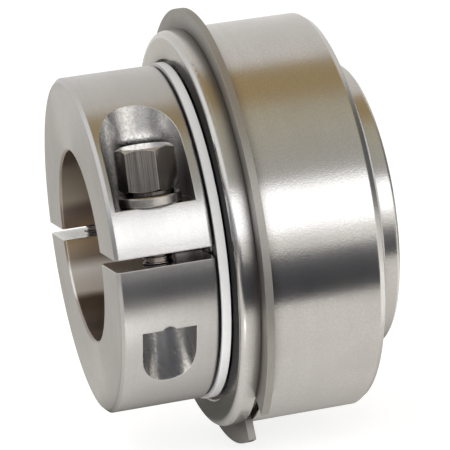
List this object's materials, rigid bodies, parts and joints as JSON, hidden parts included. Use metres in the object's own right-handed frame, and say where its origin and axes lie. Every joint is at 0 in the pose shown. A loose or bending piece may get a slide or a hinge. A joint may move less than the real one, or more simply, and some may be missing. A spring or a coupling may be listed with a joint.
{
  "type": "insert bearing",
  "caption": "Round insert ball bearing with a snap ring on its outer ring and a split clamp collar that grips the shaft.",
  "frame": {"origin": "on the shaft axis, in the plane of the balls", "axes": "+X along the shaft from the clamp collar to the plain boss, +Z square to the collar's split"},
  "size_m": [0.0569, 0.088, 0.088],
  "materials": {
    "ring_steel": "ground and polished",
    "spring_steel": "rolled, satin",
    "ball_steel": "lapped bright",
    "cage_steel": "pressed, oiled",
    "rivet_steel": "headed, oiled",
    "shield_steel": "pressed, satin",
    "seal_rubber": "moulded, matt",
    "flinger_white": "moulded, pale, matt",
    "collar_steel": "turned, satin",
    "screw_steel": "drawn, lightly brushed",
    "washer_steel": "stamped, bright edge"
  },
  "bodies": {
    "housing_side": {"outer_ring": "ring_steel", "snap_ring": "spring_steel", "front_shield": "shield_steel", "front_seal_lip": "seal_rubber", "rear_shield": "shield_steel", "rear_seal_lip": "seal_rubber"},
    "shaft_side": {"inner_ring": "ring_steel", "front_flinger": "flinger_white", "rear_flinger": "flinger_white"},
    "cage": {"cage_front_half": "cage_steel", "cage_rear_half": "cage_steel", "cage_rivets": "rivet_steel"},
    "ball_1": {"ball_1": "ball_steel"},
    "ball_2": {"ball_2": "ball_steel"},
    "ball_3": {"ball_3": "ball_steel"},
    "ball_4": {"ball_4": "ball_steel"},
    "ball_5": {"ball_5": "ball_steel"},
    "ball_6": {"ball_6": "ball_steel"},
    "ball_7": {"ball_7": "ball_steel"},
    "ball_8": {"ball_8": "ball_steel"},
    "ball_9": {"ball_9": "ball_steel"},
    "upper_half": {"upper_collar_half": "collar_steel", "near_washer": "washer_steel"},
    "lower_half": {"lower_collar_half": "collar_steel", "far_washer": "washer_steel"},
    "near_screw": {"near_clamp_screw": "screw_steel"},
    "far_screw": {"far_clamp_screw": "screw_steel"}
  },
  "joints": [
    {"name": "shaft_spin", "type": "hinge", "parent": "housing_side", "child": "shaft_side", "pos_m": [0, 0, 0], "axis": [1, 0, 0], "continuous": true},
    {"name": "cage_orbit", "type": "hinge", "parent": "housing_side", "child": "cage", "pos_m": [0, 0, 0], "axis": [1, 0, 0], "continuous": true},
    {"name": "ball_1_spin", "type": "hinge", "parent": "cage", "child": "ball_1", "pos_m": [0, 0, 0.03], "axis": [1, 0, 0], "continuous": true},
    {"name": "ball_2_spin", "type": "hinge", "parent": "cage", "child": "ball_2", "pos_m": [0, -0.01928, 0.02298], "axis": [1, 0, 0], "continuous": true},
    {"name": "ball_3_spin", "type": "hinge", "parent": "cage", "child": "ball_3", "pos_m": [0, -0.02954, 0.00521], "axis": [1, 0, 0], "continuous": true},
    {"name": "ball_4_spin", "type": "hinge", "parent": "cage", "child": "ball_4", "pos_m": [0, -0.02598, -0.015], "axis": [1, 0, 0], "continuous": true},
    {"name": "ball_5_spin", "type": "hinge", "parent": "cage", "child": "ball_5", "pos_m": [0, -0.01026, -0.02819], "axis": [1, 0, 0], "continuous": true},
    {"name": "ball_6_spin", "type": "hinge", "parent": "cage", "child": "ball_6", "pos_m": [0, 0.01026, -0.02819], "axis": [1, 0, 0], "continuous": true},
    {"name": "ball_7_spin", "type": "hinge", "parent": "cage", "child": "ball_7", "pos_m": [0, 0.02598, -0.015], "axis": [1, 0, 0], "continuous": true},
    {"name": "ball_8_spin", "type": "hinge", "parent": "cage", "child": "ball_8", "pos_m": [0, 0.02954, 0.00521], "axis": [1, 0, 0], "continuous": true},
    {"name": "ball_9_spin", "type": "hinge", "parent": "cage", "child": "ball_9", "pos_m": [0, 0.01928, 0.02298], "axis": [1, 0, 0], "continuous": true},
    {"name": "upper_half_open", "type": "slide", "parent": "shaft_side", "child": "upper_half", "axis": [0, 0, 1], "range_m": [0, 0.0055]},
    {"name": "lower_half_open", "type": "slide", "parent": "shaft_side", "child": "lower_half", "axis": [0, 0, -1], "range_m": [0, 0.0055]},
    {"name": "near_screw_turn", "type": "hinge", "parent": "upper_half", "child": "near_screw", "pos_m": [-0.02656, -0.0278, 0], "axis": [0, 0, 1], "range_deg": [0, 3960]},
    {"name": "far_screw_turn", "type": "hinge", "parent": "lower_half", "child": "far_screw", "pos_m": [-0.02656, 0.0278, 0], "axis": [0, 0, -1], "range_deg": [0, 3960]}
  ],
  "couplings": [
    {"joint": "cage_orbit", "follows": "shaft_spin", "ratio": 0.39417},
    {"joint": "ball_1_spin", "follows": "shaft_spin", "ratio": -2.2564},
    {"joint": "ball_2_spin", "follows": "shaft_spin", "ratio": -2.2564},
    {"joint": "ball_3_spin", "follows": "shaft_spin", "ratio": -2.2564},
    {"joint": "ball_4_spin", "follows": "shaft_spin", "ratio": -2.2564},
    {"joint": "ball_5_spin", "follows": "shaft_spin", "ratio": -2.2564},
    {"joint": "ball_6_spin", "follows": "shaft_spin", "ratio": -2.2564},
    {"joint": "ball_7_spin", "follows": "shaft_spin", "ratio": -2.2564},
    {"joint": "ball_8_spin", "follows": "shaft_spin", "ratio": -2.2564},
    {"joint": "ball_9_spin", "follows": "shaft_spin", "ratio": -2.2564},
    {"joint": "lower_half_open", "follows": "upper_half_open", "ratio": 1},
    {"joint": "near_screw_turn", "follows": "upper_half_open", "rad_per_m": 12566},
    {"joint": "far_screw_turn", "follows": "upper_half_open", "rad_per_m": 12566}
  ]
}
